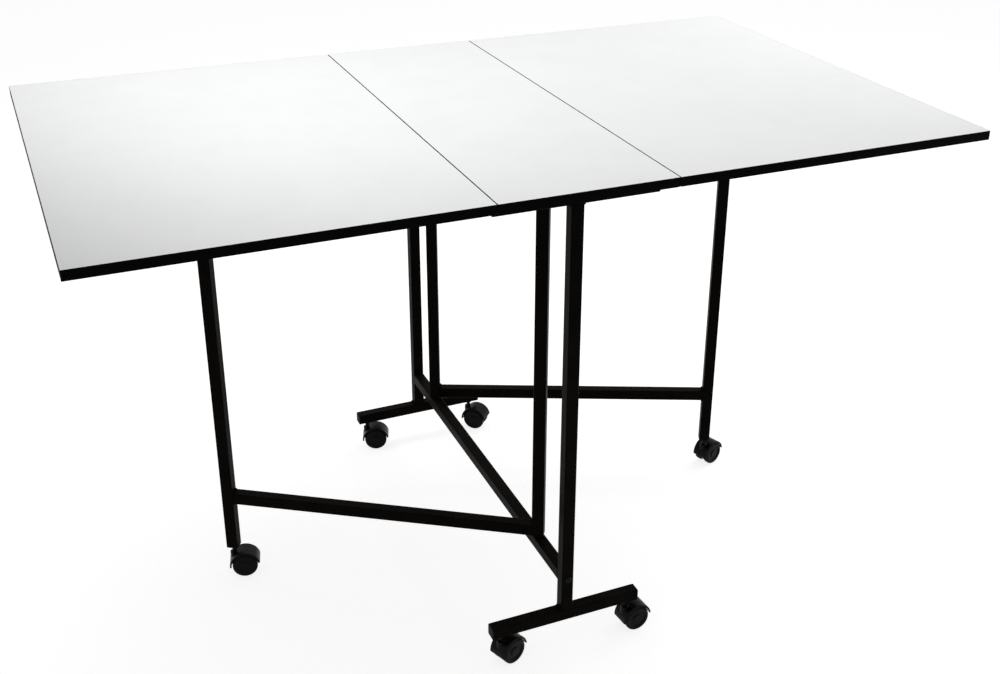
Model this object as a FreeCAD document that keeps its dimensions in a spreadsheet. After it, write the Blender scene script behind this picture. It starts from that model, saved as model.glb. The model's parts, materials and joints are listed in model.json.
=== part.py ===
"""Folding cutting table: a centre panel with two drop leaves, on a square-tube frame with swing gates and casters.

Millimetres and degrees. X runs along the table's length, Y across it from front to back, Z up from the floor.
The origin is on the floor, under the middle of the top. The leaves are up and the gates are open at rest.
"""
import FreeCAD, Part
import math
import os
from types import SimpleNamespace

import Sketcher

SIZES = {
    # Top
    "top_height": 894.0,
    "top_width": 890.0,
    "centre_length": 302.0,
    "leaf_length": 602.5,
    "seam_gap": 1.5,
    "board_thickness": 16.0,
    "band_thickness": 0.4,
    # Square tube
    "tube_side": 22.0,
    "tube_wall": 1.5,
    "tube_corner": 2.5,
    "tube_inner_corner": 1.0,
    # Fixed frame
    "post_inset": 54.0,
    "foot_length": 286.0,
    "foot_height": 64.0,
    "lower_rail_height": 141.0,
    "top_bar_length": 286.0,
    "bar_screw_inset": 28.0,
    "bar_screw_pitch": 70.0,
    # Gates
    "pivot_setback": 117.0,
    "gate_reach": 591.0,
    "left_gate_angle": 33.0,
    "right_gate_angle": 24.0,
    # Plugs, bushes and pivot pins
    "end_cap_thickness": 3.0,
    "glide_thickness": 4.0,
    "bush_flange_diameter": 21.0,
    "bush_flange_thickness": 2.0,
    "plug_length": 20.0,
    "pin_diameter": 8.0,
    "pin_head_diameter": 14.0,
    "pin_head_height": 2.6,
    # Rail bolts
    "bolt_diameter": 6.0,
    "bolt_head_diameter": 11.0,
    "bolt_head_height": 3.3,
    "bolt_hole_clearance": 0.2,
    "nut_length": 12.0,
    # Hinges and wood screws
    "hinge_length": 50.0,
    "hinge_plate_width": 28.0,
    "hinge_plate_thickness": 1.5,
    "hinge_plate_setback": 4.0,
    "hinge_bar_gap": 7.0,
    "knuckle_diameter": 6.0,
    "knuckle_gap": 0.4,
    "hinge_pin_diameter": 3.0,
    "hinge_screw_pitch": 18.0,
    "hinge_screw_inset": 9.0,
    "screw_diameter": 3.2,
    "screw_head_diameter": 6.0,
    "screw_head_height": 1.6,
    "screw_reach": 10.0,
    # Casters
    "wheel_diameter": 48.0,
    "wheel_width": 12.4,
    "wheel_side_gap": 0.5,
    "wheel_round": 3.0,
    "wheel_dish_diameter": 36.0,
    "wheel_dish_depth": 2.0,
    "wheel_hub_diameter": 15.0,
    "wheel_cap_thickness": 3.0,
    "axle_diameter": 6.0,
    "web_thickness": 9.5,
    "hood_thickness": 3.2,
    "hood_clearance": 1.8,
    "hood_lip": 0.5,
    "hood_round": 2.0,
    "hood_back_drop": 2.0,
    "hood_front_rise": 6.0,
    "web_inset": 3.0,
    "boss_diameter": 16.0,
    "boss_height": 50.0,
    "caster_trail": 18.5,
    "stem_diameter": 8.0,
    "stem_depth": 10.0,
    "stem_inset": 21.0,
    "socket_diameter": 12.0,
    "socket_flange_diameter": 16.0,
    "socket_flange_thickness": 2.0,
    "front_left_trail_angle": 21.0,
    "front_right_trail_angle": 5.0,
    "back_left_trail_angle": -19.0,
    "back_right_trail_angle": -43.0,
    "left_gate_trail_angle": -14.0,
    "right_gate_trail_angle": 20.0,
    # Clearances
    "fit_clearance": 0.05,
    "running_gap": 0.3,
}


class Size:
    """A length or an angle: its number, and the sheet expression that gives it."""

    def __init__(self, value, text):
        self.value = value
        self.text = text

    def __add__(self, other):
        other = as_size(other)
        return Size(self.value + other.value, f"({self.text} + {other.text})")

    def __sub__(self, other):
        other = as_size(other)
        return Size(self.value - other.value, f"({self.text} - {other.text})")

    def __mul__(self, other):
        other = as_size(other)
        return Size(self.value * other.value, f"({self.text} * {other.text})")

    def __truediv__(self, other):
        other = as_size(other)
        return Size(self.value / other.value, f"({self.text} / {other.text})")

    def __neg__(self):
        return Size(-self.value, f"(-{self.text})")


def as_size(number):
    """A plain number as a size, and a size as it is."""
    if isinstance(number, Size):
        return number
    return Size(float(number), str(number))


def cosine(angle):
    return Size(math.cos(math.radians(angle.value)), f"cos({angle.text} * 1 deg)")


def sine(angle):
    return Size(math.sin(math.radians(angle.value)), f"sin({angle.text} * 1 deg)")


def sheet_sizes(document, sizes):
    """Write the driving sizes to the sheet, and return them as bound sizes by name."""
    sheet = document.addObject("Spreadsheet::Sheet", "Sizes")
    for row, (alias, value) in enumerate(sizes.items(), start=1):
        sheet.set(f"A{row}", str(value))
        sheet.setAlias(f"A{row}", alias)
    document.recompute()
    return SimpleNamespace(**{alias: Size(value, f"Sizes.{alias}") for alias, value in sizes.items()})


doc = FreeCAD.newDocument("CuttingTable")
size = sheet_sizes(doc, SIZES)
nodes = []

Z_AXIS = FreeCAD.Vector(0, 0, 1)
HALF_TURN = 180

# Heights and places that follow from the driving sizes
underside = size.top_height - size.board_thickness
half_width = size.top_width / 2
half_centre = size.centre_length / 2
seam_x = half_centre + size.seam_gap / 2
leaf_start = half_centre + size.seam_gap
half_tube = size.tube_side / 2
tube_bore = size.tube_side - size.tube_wall * 2
plug_side = tube_bore - size.fit_clearance * 2
foot_top = size.foot_height + size.tube_side
bar_bottom = underside - size.tube_side
post_y = half_width - size.post_inset
half_foot = size.foot_length / 2
rail_length = (post_y - half_tube) * 2
lower_rail_top = size.lower_rail_height + size.tube_side
pivot_y = post_y - size.pivot_setback
gate_bottom = lower_rail_top + size.running_gap + size.bush_flange_thickness
gate_top = bar_bottom - size.running_gap - size.bush_flange_thickness
gate_rail_length = size.gate_reach - size.tube_side
leg_bottom = size.foot_height + size.socket_flange_thickness
leg_top = underside - size.running_gap - size.glide_thickness
stem_x = half_foot - size.stem_inset
stem_bottom = size.boss_height - size.stem_depth
wheel_radius = size.wheel_diameter / 2
half_web = size.web_thickness / 2
wheel_inner_face = half_web + size.wheel_side_gap
knuckle_radius = size.knuckle_diameter / 2
hinge_axis_drop = knuckle_radius + size.knuckle_gap
hinge_axis_z = underside - hinge_axis_drop


def sketch_on(body, role, name, lift=None):
    """A sketch on one of the body's own origin planes, moved along the plane's normal by lift."""
    sketch = body.newObject("Sketcher::SketchObject", f"{body.Name}_{name}")
    plane = next(feature for feature in body.Origin.OriginFeatures if feature.Role == role)
    sketch.AttachmentSupport = (plane, [""])
    sketch.MapMode = "FlatFace"
    if lift is not None:
        sketch.setExpression("AttachmentOffset.Base.z", lift.text)
    return sketch


def hold(sketch, constraint, measure):
    """Add a dimension to the sketch and tie it to a size."""
    index = sketch.addConstraint(constraint)
    sketch.setExpression(f"Constraints[{index}]", measure.text)


def hold_point(sketch, shape, point, x, y):
    """Tie a point of a sketched shape to its distances from the sketch's origin."""
    hold(sketch, Sketcher.Constraint("DistanceX", -1, 1, shape, point, x.value), x)
    hold(sketch, Sketcher.Constraint("DistanceY", -1, 1, shape, point, y.value), y)


def flat(x, y):
    return FreeCAD.Vector(x.value, y.value, 0)


def draw_circle(sketch, x, y, radius):
    x, y = as_size(x), as_size(y)
    circle = sketch.addGeometry(Part.Circle(flat(x, y), Z_AXIS, radius.value))
    hold(sketch, Sketcher.Constraint("Radius", circle, radius.value), radius)
    hold_point(sketch, circle, 3, x, y)


def draw_polygon(sketch, corners):
    """A closed outline of straight lines through the corners."""
    corners = [(as_size(x), as_size(y)) for x, y in corners]
    count = len(corners)
    lines = []
    for (x, y), (next_x, next_y) in zip(corners, corners[1:] + corners[:1]):
        lines.append(sketch.addGeometry(Part.LineSegment(flat(x, y), flat(next_x, next_y))))
    for place, line in enumerate(lines):
        sketch.addConstraint(Sketcher.Constraint("Coincident", line, 2, lines[(place + 1) % count], 1))
    for line, (x, y) in zip(lines, corners):
        hold_point(sketch, line, 1, x, y)


def draw_rounded_square(sketch, side, corner):
    """A square centred on the sketch's origin, with round corners: four lines and four tangent arcs."""
    half = side.value / 2
    radius = corner.value
    reach = half - radius
    lines = []
    arcs = []
    for quarter in range(4):
        turn = FreeCAD.Rotation(Z_AXIS, 90 * quarter)
        start = turn.multVec(FreeCAD.Vector(-reach, -half, 0))
        end = turn.multVec(FreeCAD.Vector(reach, -half, 0))
        centre = turn.multVec(FreeCAD.Vector(reach, -reach, 0))
        first = math.radians(90 * quarter - 90)
        lines.append(sketch.addGeometry(Part.LineSegment(start, end)))
        round_corner = Part.ArcOfCircle(Part.Circle(centre, Z_AXIS, radius), first, first + math.pi / 2)
        arcs.append(sketch.addGeometry(round_corner))
    for quarter in range(4):
        sketch.addConstraint(Sketcher.Constraint("Tangent", lines[quarter], 2, arcs[quarter], 1))
        sketch.addConstraint(Sketcher.Constraint("Tangent", arcs[quarter], 2, lines[(quarter + 1) % 4], 1))
    for quarter in (0, 2):
        sketch.addConstraint(Sketcher.Constraint("Horizontal", lines[quarter]))
        sketch.addConstraint(Sketcher.Constraint("Vertical", lines[quarter + 1]))
    for arc in arcs[1:]:
        sketch.addConstraint(Sketcher.Constraint("Equal", arcs[0], arc))
    sketch.addConstraint(Sketcher.Constraint("Symmetric", lines[0], 1, lines[2], 1, -1, 1))
    hold(sketch, Sketcher.Constraint("Radius", arcs[0], radius), corner)
    hold(sketch, Sketcher.Constraint("DistanceY", lines[0], 1, lines[2], 2, side.value), side)
    hold(sketch, Sketcher.Constraint("DistanceX", lines[3], 1, lines[1], 1, side.value), side)


def pad(body, sketch, length, side="One side", backwards=False):
    feature = body.newObject("PartDesign::Pad", f"{sketch.Name}_pad")
    feature.Profile = sketch
    feature.SideType = side
    feature.Reversed = backwards
    feature.setExpression("Length", length.text)
    return feature


def pocket(body, sketch, length=None, side="Symmetric", backwards=False):
    """Cut the sketch out of the body: right through, or over a given length."""
    feature = body.newObject("PartDesign::Pocket", f"{sketch.Name}_pocket")
    feature.Profile = sketch
    feature.SideType = side
    feature.Reversed = backwards
    if length is None:
        feature.Type = "ThroughAll"
    else:
        feature.setExpression("Length", length.text)
    return feature


def place(item, x, y, z, turn=None):
    """Tie an object's place, and its turn about the vertical, to sizes."""
    for letter, measure in zip("xyz", (x, y, z)):
        item.setExpression(f"Placement.Base.{letter}", as_size(measure).text)
    if turn is not None:
        item.setExpression("Placement.Rotation.Angle", turn.text)
    return item


def flip(item):
    """Turn an object half round about the vertical through its own origin."""
    item.Placement = FreeCAD.Placement(FreeCAD.Vector(), FreeCAD.Rotation(Z_AXIS, HALF_TURN))
    return item


def body_named(label):
    return doc.addObject("PartDesign::Body", label)


def node(item):
    """Count an object as a finished sub-part."""
    nodes.append(item)
    return item


def copy_of(master, name):
    link = doc.addObject("App::Link", name)
    link.LinkedObject = master
    return link


def group(label, members):
    """One node of several separate pieces."""
    compound = doc.addObject("Part::Compound", label)
    compound.Links = members
    return node(compound)


def box(name, corner, extent):
    item = doc.addObject("Part::Box", name)
    for side, measure in zip(("Length", "Width", "Height"), extent):
        item.setExpression(side, measure.text)
    return place(item, *corner)


def drill(label, solid, holes, radius, depth, z):
    """Cut upright round holes, starting at height z, out of a solid."""
    drills = []
    for count, (x, y) in enumerate(holes):
        cylinder = doc.addObject("Part::Cylinder", f"{label}_drill_{count}")
        cylinder.setExpression("Radius", radius.text)
        cylinder.setExpression("Height", depth.text)
        drills.append(place(cylinder, x, y, z))
    tool = doc.addObject("Part::Compound", f"{label}_drills")
    tool.Links = drills
    cut = doc.addObject("Part::Cut", label)
    cut.Base = solid
    cut.Tool = tool
    return cut


def tube(label, role, length, side="One side"):
    """A square tube centred on its axis, which is square to the plane with that role."""
    body = body_named(label)
    section = sketch_on(body, role, "section")
    draw_rounded_square(section, size.tube_side, size.tube_corner)
    draw_rounded_square(section, tube_bore, size.tube_inner_corner)
    pad(body, section, length, side)
    return node(body)


def bore_tube(body, role, holes, radius, side="Symmetric"):
    """Round holes across a tube, through both walls or through the wall behind the sketch."""
    sketch = sketch_on(body, role, f"{role}_holes")
    for x, y in holes:
        draw_circle(sketch, x, y, radius)
    pocket(body, sketch, side=side)


def round_edges(body, feature, radius, wanted):
    """Round those edges of a feature that wanted picks."""
    feature.recompute(True)
    names = [f"Edge{count}" for count, edge in enumerate(feature.Shape.Edges, start=1) if wanted(edge)]
    fillet = body.newObject("PartDesign::Fillet", f"{feature.Name}_round")
    fillet.Base = (feature, names)
    fillet.setExpression("Radius", radius.text)


def is_circle_of(radius):
    """A test for full round edges of one radius."""
    def wanted(edge):
        return edge.Closed and isinstance(edge.Curve, Part.Circle) and abs(edge.Curve.Radius - radius) < 1e-6
    return wanted


# Where each seam's hinges and screws lie
end_hinge_y = post_y - half_tube - size.hinge_bar_gap - size.hinge_length / 2
hinge_places = [-end_hinge_y, as_size(0), end_hinge_y]
hinge_screw_x = size.hinge_plate_width - size.hinge_screw_inset
hinge_screw_y = [-size.hinge_screw_pitch, as_size(0), size.hinge_screw_pitch]
hinge_screw_rows = [middle + along for middle in hinge_places for along in hinge_screw_y]
outer_screw_x = size.top_bar_length / 2 - size.bar_screw_inset
inner_screw_x = outer_screw_x - size.bar_screw_pitch
bar_screw_x = [-outer_screw_x, -inner_screw_x, inner_screw_x, outer_screw_x]


def hinge_screw_places(x):
    return [(x, y) for y in hinge_screw_rows]


centre_hinge_screws = hinge_screw_places(-(seam_x - hinge_screw_x)) + hinge_screw_places(seam_x - hinge_screw_x)
left_hinge_screws = hinge_screw_places(-(seam_x + hinge_screw_x))
right_hinge_screws = hinge_screw_places(seam_x + hinge_screw_x)
top_bar_screws = [(x, y) for y in (-post_y, post_y) for x in bar_screw_x]


def board(label, start_x, length, screw_places):
    """A faced board with pilot holes in its underside, and the strips round its four edges."""
    band = size.band_thickness
    inner_width = size.top_width - band * 2
    inner_length = length - band * 2
    end_x = start_x + length
    core = box(f"{label}_core", (start_x + band, band - half_width, underside),
               (inner_length, inner_width, size.board_thickness))
    pilot = size.screw_diameter / 2 + size.fit_clearance
    node(drill(label, core, screw_places, pilot, size.screw_reach, underside))
    long_strip = (length, band, size.board_thickness)
    short_strip = (band, inner_width, size.board_thickness)
    strips = [
        box(f"{label}_front_strip", (start_x, -half_width, underside), long_strip),
        box(f"{label}_back_strip", (start_x, half_width - band, underside), long_strip),
        box(f"{label}_left_strip", (start_x, band - half_width, underside), short_strip),
        box(f"{label}_right_strip", (end_x - band, band - half_width, underside), short_strip),
    ]
    return strips


def top():
    """The centre panel and the two leaves, each with its edge band."""
    leaf_end = leaf_start + size.leaf_length
    centre_strips = board("centre_panel", -half_centre, size.centre_length, centre_hinge_screws + top_bar_screws)
    left_strips = board("left_leaf", -leaf_end, size.leaf_length, left_hinge_screws)
    right_strips = board("right_leaf", leaf_start, size.leaf_length, right_hinge_screws)
    group("centre_edge_band", centre_strips)
    group("left_leaf_edge_band", left_strips)
    group("right_leaf_edge_band", right_strips)


def hinge_plate(name, knuckle_at_middle):
    """Half of a butt hinge: a flat plate on the +X side of the pin, rolled round the pin at its knuckles."""
    body = body_named(name)
    knuckle_length = (size.hinge_length - size.knuckle_gap * 2) / 3
    middle_end = knuckle_length / 2
    room_end = middle_end + size.knuckle_gap
    far = size.hinge_plate_width
    near = size.hinge_plate_setback
    end = size.hinge_length / 2
    if knuckle_at_middle:
        notch = middle_end
        outline = [(near, -end), (far, -end), (far, end), (near, end),
                   (near, notch), (0, notch), (0, -notch), (near, -notch)]
    else:
        notch = room_end
        outline = [(0, -end), (far, -end), (far, end), (0, end),
                   (0, notch), (near, notch), (near, -notch), (0, -notch)]
    plate = sketch_on(body, "XY_Plane", "plate", hinge_axis_drop - size.hinge_plate_thickness)
    draw_polygon(plate, outline)
    pad(body, plate, size.hinge_plate_thickness)
    knuckles = sketch_on(body, "XZ_Plane", "knuckles")
    draw_circle(knuckles, 0, 0, knuckle_radius)
    pad(body, knuckles, knuckle_length if knuckle_at_middle else size.hinge_length, "Symmetric")
    if not knuckle_at_middle:
        room = sketch_on(body, "XZ_Plane", "room")
        draw_circle(room, 0, 0, knuckle_radius + size.knuckle_gap)
        pocket(body, room, room_end * 2)
    pin_bore = sketch_on(body, "XZ_Plane", "pin_bore")
    draw_circle(pin_bore, 0, 0, size.hinge_pin_diameter / 2 + size.fit_clearance)
    pocket(body, pin_bore)
    screw_holes = sketch_on(body, "XY_Plane", "screw_holes")
    for y in hinge_screw_y:
        draw_circle(screw_holes, hinge_screw_x, y, size.screw_diameter / 2 + size.fit_clearance)
    pocket(body, screw_holes)
    return body


def hinges():
    """Three hinges under each seam, with the pins held by the centre panel's plates."""
    fixed_plate = hinge_plate("hinge_plate_with_end_knuckles", False)
    moving_plate = hinge_plate("hinge_plate_with_middle_knuckle", True)
    pin = body_named("hinge_pin")
    pin_section = sketch_on(pin, "XZ_Plane", "section")
    draw_circle(pin_section, 0, 0, size.hinge_pin_diameter / 2)
    pad(pin, pin_section, size.hinge_length, "Symmetric")
    fixed, left, right, pins = [], [], [], []
    for count, y in enumerate(hinge_places):
        left_centre = place(copy_of(fixed_plate, f"left_centre_plate_{count}"), -seam_x, y, hinge_axis_z)
        right_centre = flip(copy_of(fixed_plate, f"right_centre_plate_{count}"))
        left_moving = flip(copy_of(moving_plate, f"left_moving_plate_{count}"))
        right_moving = place(copy_of(moving_plate, f"right_moving_plate_{count}"), seam_x, y, hinge_axis_z)
        fixed += [left_centre, place(right_centre, seam_x, y, hinge_axis_z)]
        left.append(place(left_moving, -seam_x, y, hinge_axis_z))
        right.append(right_moving)
        for side, x in (("left", -seam_x), ("right", seam_x)):
            pins.append(place(copy_of(pin, f"{side}_pin_{count}"), x, y, hinge_axis_z))
    group("centre_hinge_plates", fixed)
    group("left_leaf_hinge_plates", left)
    group("right_leaf_hinge_plates", right)
    group("hinge_pins", pins)


def headed_pin(name, shank_radius, shank_length, head_radius, head_height, role="XY_Plane"):
    """A round shank along the plane's normal, with a flat round head behind the plane."""
    body = body_named(name)
    shank = sketch_on(body, role, "shank")
    draw_circle(shank, 0, 0, shank_radius)
    head = sketch_on(body, role, "head")
    draw_circle(head, 0, 0, head_radius)
    pad(body, shank, shank_length)
    pad(body, head, head_height, backwards=True)
    return body


def wood_screw(name, clamped):
    """A screw whose head lies under a plate or a bar and whose shank goes up into the board."""
    return headed_pin(name, size.screw_diameter / 2, clamped + size.screw_reach,
                      size.screw_head_diameter / 2, size.screw_head_height)


def screws():
    """The wood screws of the hinges and of the top bars."""
    hinge_screw = wood_screw("hinge_screw", size.hinge_plate_thickness)
    bar_screw = wood_screw("bar_screw", size.tube_side)
    hinge_seat = underside - size.hinge_plate_thickness

    def copies(master, name, places, z):
        return [place(copy_of(master, f"{name}_{count}"), x, y, z) for count, (x, y) in enumerate(places)]

    centre = copies(hinge_screw, "centre_hinge_screw", centre_hinge_screws, hinge_seat)
    centre += copies(bar_screw, "top_bar_screw", top_bar_screws, bar_bottom)
    group("centre_panel_screws", centre)
    group("left_leaf_screws", copies(hinge_screw, "left_leaf_screw", left_hinge_screws, hinge_seat))
    group("right_leaf_screws", copies(hinge_screw, "right_leaf_screw", right_hinge_screws, hinge_seat))


def plug(name, role, flange_thickness, length, flange_radius=None, bore_radius=None, flange_ahead=True):
    """A plug for a tube's end: a flange on one side of the plane and a square plug on the other."""
    body = body_named(name)
    flange = sketch_on(body, role, "flange")
    if flange_radius is None:
        draw_rounded_square(flange, size.tube_side, size.tube_corner)
    else:
        draw_circle(flange, 0, 0, flange_radius)
    pad(body, flange, flange_thickness, backwards=not flange_ahead)
    core = sketch_on(body, role, "core")
    draw_rounded_square(core, plug_side, size.tube_inner_corner)
    pad(body, core, length, backwards=flange_ahead)
    if bore_radius is not None:
        bore = sketch_on(body, role, "bore")
        draw_circle(bore, 0, 0, bore_radius)
        pocket(body, bore)
    return body


def fixed_frame():
    """The posts, feet, bars and rails that carry the centre panel."""
    post_length = bar_bottom - foot_top
    foot_tube = size.foot_length - size.end_cap_thickness * 2
    bar_tube = size.top_bar_length - size.end_cap_thickness * 2
    lower_axis = size.lower_rail_height + half_tube
    upper_axis = bar_bottom + half_tube
    bolt_hole = size.bolt_diameter / 2 + size.bolt_hole_clearance
    pin_hole = size.pin_diameter / 2 + size.fit_clearance
    socket_hole = size.socket_diameter / 2 + size.fit_clearance
    screw_hole = size.screw_diameter / 2 + size.fit_clearance
    for side, y in (("front", -post_y), ("back", post_y)):
        post = place(tube(f"{side}_post", "XY_Plane", post_length), 0, y, foot_top)
        bore_tube(post, "XZ_Plane", [(0, lower_axis - foot_top)], bolt_hole)
        foot = place(tube(f"{side}_foot", "YZ_Plane", foot_tube, "Symmetric"), 0, y, size.foot_height + half_tube)
        bore_tube(foot, "XY_Plane", [(-stem_x, 0), (stem_x, 0)], socket_hole, side="One side")
        bar = place(tube(f"{side}_top_bar", "YZ_Plane", bar_tube, "Symmetric"), 0, y, upper_axis)
        bore_tube(bar, "XY_Plane", [(x, 0) for x in bar_screw_x], screw_hole)
        bore_tube(bar, "XZ_Plane", [(0, 0)], bolt_hole)
    for level, axis_z in (("lower", lower_axis), ("upper", upper_axis)):
        rail = place(tube(f"{level}_rail", "XZ_Plane", rail_length, "Symmetric"), 0, 0, axis_z)
        bore_tube(rail, "XY_Plane", [(0, -pivot_y), (0, pivot_y)], pin_hole)
    rail_bolts(lower_axis, upper_axis)


def rail_bolts(lower_axis, upper_axis):
    """A bolt through a post or a top bar into a nut block in each end of each rail."""
    bolt = headed_pin("rail_bolt", size.bolt_diameter / 2, size.tube_side + size.nut_length,
                      size.bolt_head_diameter / 2, size.bolt_head_height, "XZ_Plane")
    nut = body_named("rail_nut")
    section = sketch_on(nut, "XZ_Plane", "section")
    draw_rounded_square(section, plug_side, size.tube_inner_corner)
    draw_circle(section, 0, 0, size.bolt_diameter / 2 + size.fit_clearance)
    pad(nut, section, size.nut_length)
    outer_face = post_y + half_tube
    inner_face = post_y - half_tube
    members = []
    for level, z in (("lower", lower_axis), ("upper", upper_axis)):
        members.append(place(copy_of(bolt, f"back_{level}_bolt"), 0, outer_face, z))
        members.append(place(copy_of(nut, f"back_{level}_nut"), 0, inner_face, z))
        front_bolt = flip(copy_of(bolt, f"front_{level}_bolt"))
        members.append(place(front_bolt, 0, -outer_face, z))
        front_nut = flip(copy_of(nut, f"front_{level}_nut"))
        members.append(place(front_nut, 0, -inner_face, z))
    group("rail_bolts_and_nuts", members)


def end_fittings():
    """The plugs in the ends of the feet and bars, and the sleeves and stems of the feet's casters."""
    socket_reach = size.socket_diameter / 2 + size.running_gap
    cap_plug = size.stem_inset - size.end_cap_thickness - socket_reach
    cap = plug("end_cap", "YZ_Plane", size.end_cap_thickness, cap_plug)
    sleeve = body_named("caster_sleeve")
    sleeve_length = size.tube_side - size.tube_wall
    stem_hole = size.stem_diameter / 2 + size.fit_clearance
    for name, radius, length, below in (
            ("sleeve", size.socket_diameter / 2, sleeve_length, False),
            ("flange", size.socket_flange_diameter / 2, size.socket_flange_thickness, True)):
        ring = sketch_on(sleeve, "XY_Plane", name)
        draw_circle(ring, 0, 0, radius)
        draw_circle(ring, 0, 0, stem_hole)
        pad(sleeve, ring, length, backwards=below)
    stem = caster_stem("foot_caster_stem", sleeve_length)
    caps, sleeves, stems = [], [], []
    cap_places = {
        "foot": (half_foot - size.end_cap_thickness, size.foot_height + half_tube),
        "bar": (size.top_bar_length / 2 - size.end_cap_thickness, bar_bottom + half_tube),
    }
    for side, y in (("front", -post_y), ("back", post_y)):
        for level, (x, z) in cap_places.items():
            caps.append(place(copy_of(cap, f"{side}_{level}_right_cap"), x, y, z))
            caps.append(place(flip(copy_of(cap, f"{side}_{level}_left_cap")), -x, y, z))
        for end, x in (("left", -stem_x), ("right", stem_x)):
            sleeves.append(place(copy_of(sleeve, f"{side}_{end}_sleeve"), x, y, size.foot_height))
            stems.append(place(copy_of(stem, f"{side}_{end}_stem"), x, y, stem_bottom))
    group("tube_end_caps", caps)
    group("foot_caster_sockets", sleeves)
    group("foot_caster_stems", stems)


def caster_stem(name, length_in_socket):
    """An upright steel stem from the caster's boss up into its socket."""
    body = body_named(name)
    section = sketch_on(body, "XY_Plane", "section")
    draw_circle(section, 0, 0, size.stem_diameter / 2)
    pad(body, section, size.foot_height + length_in_socket - stem_bottom)
    return body


def pivot_pins():
    """Pins through the rails into the gates: headed ones from below, and plain ones held down by the panel."""
    length = size.tube_side + size.running_gap + size.bush_flange_thickness + size.plug_length
    lower_pin = headed_pin("lower_pivot_pin", size.pin_diameter / 2, length,
                           size.pin_head_diameter / 2, size.pin_head_height)
    upper_pin = body_named("upper_pivot_pin")
    section = sketch_on(upper_pin, "XY_Plane", "section")
    draw_circle(section, 0, 0, size.pin_diameter / 2)
    pad(upper_pin, section, length, backwards=True)
    members = []
    for side, y in (("front", -pivot_y), ("back", pivot_y)):
        members.append(place(copy_of(lower_pin, f"{side}_lower_pin"), 0, y, size.lower_rail_height))
        members.append(place(copy_of(upper_pin, f"{side}_upper_pin"), 0, y, underside))
    group("gate_pivot_pins", members)


def gate(name, pivot, turn):
    """A swinging support frame: its own +X runs from the pivot post to the leg. Returns the leg's place."""
    def along(distance):
        return distance * cosine(turn), pivot + distance * sine(turn)

    leg_x, leg_y = along(size.gate_reach)
    rail_x, rail_y = along(half_tube)
    pin_hole = size.pin_diameter / 2 + size.fit_clearance
    stem_hole = size.stem_diameter / 2 + size.fit_clearance
    place(tube(f"{name}_pivot_post", "XY_Plane", gate_top - gate_bottom), 0, pivot, gate_bottom, turn)
    place(tube(f"{name}_leg", "XY_Plane", leg_top - leg_bottom), leg_x, leg_y, leg_bottom, turn)
    place(tube(f"{name}_lower_rail", "YZ_Plane", gate_rail_length), rail_x, rail_y, gate_bottom + half_tube, turn)
    place(tube(f"{name}_upper_rail", "YZ_Plane", gate_rail_length), rail_x, rail_y, gate_top - half_tube, turn)
    leg_cap = plug(f"{name}_leg_cap", "XY_Plane", size.glide_thickness, size.plug_length)
    place(node(leg_cap), leg_x, leg_y, leg_top, turn)
    socket = plug(f"{name}_caster_socket", "XY_Plane", size.socket_flange_thickness, size.plug_length,
                  bore_radius=stem_hole, flange_ahead=False)
    place(node(socket), leg_x, leg_y, leg_bottom, turn)
    stem = caster_stem(f"{name}_caster_stem", size.socket_flange_thickness + size.plug_length)
    place(node(stem), leg_x, leg_y, stem_bottom)
    bushes = []
    for level, z, ahead in (("lower", gate_bottom, False), ("upper", gate_top, True)):
        bush = plug(f"{name}_{level}_bush", "XY_Plane", size.bush_flange_thickness, size.plug_length,
                    size.bush_flange_diameter / 2, pin_hole, ahead)
        bushes.append(place(bush, 0, pivot, z, turn))
    group(f"{name}_bushes", bushes)
    return leg_x, leg_y


def caster_wheel():
    """A wheel about the Y axis, with its inner face on the origin and a closed cap over the axle's end."""
    body = body_named("caster_wheel")
    width = size.wheel_width
    dish_floor = width - size.wheel_dish_depth
    bore = size.axle_diameter / 2 + size.fit_clearance
    bore_end = width - size.wheel_cap_thickness
    dish = size.wheel_dish_diameter / 2
    hub = size.wheel_hub_diameter / 2
    profile = sketch_on(body, "YZ_Plane", "profile")
    draw_polygon(profile, [
        (0, bore), (0, wheel_radius), (width, wheel_radius), (width, dish),
        (dish_floor, dish - size.wheel_dish_depth), (dish_floor, hub + size.wheel_dish_depth), (width, hub),
        (width, 0), (bore_end, 0), (bore_end, bore)])
    turned = body.newObject("PartDesign::Revolution", "caster_wheel_turned")
    turned.Profile = profile
    turned.ReferenceAxis = (profile, ["H_Axis"])
    turned.Angle = 360
    round_edges(body, turned, size.wheel_round, is_circle_of(wheel_radius.value))
    return body


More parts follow.
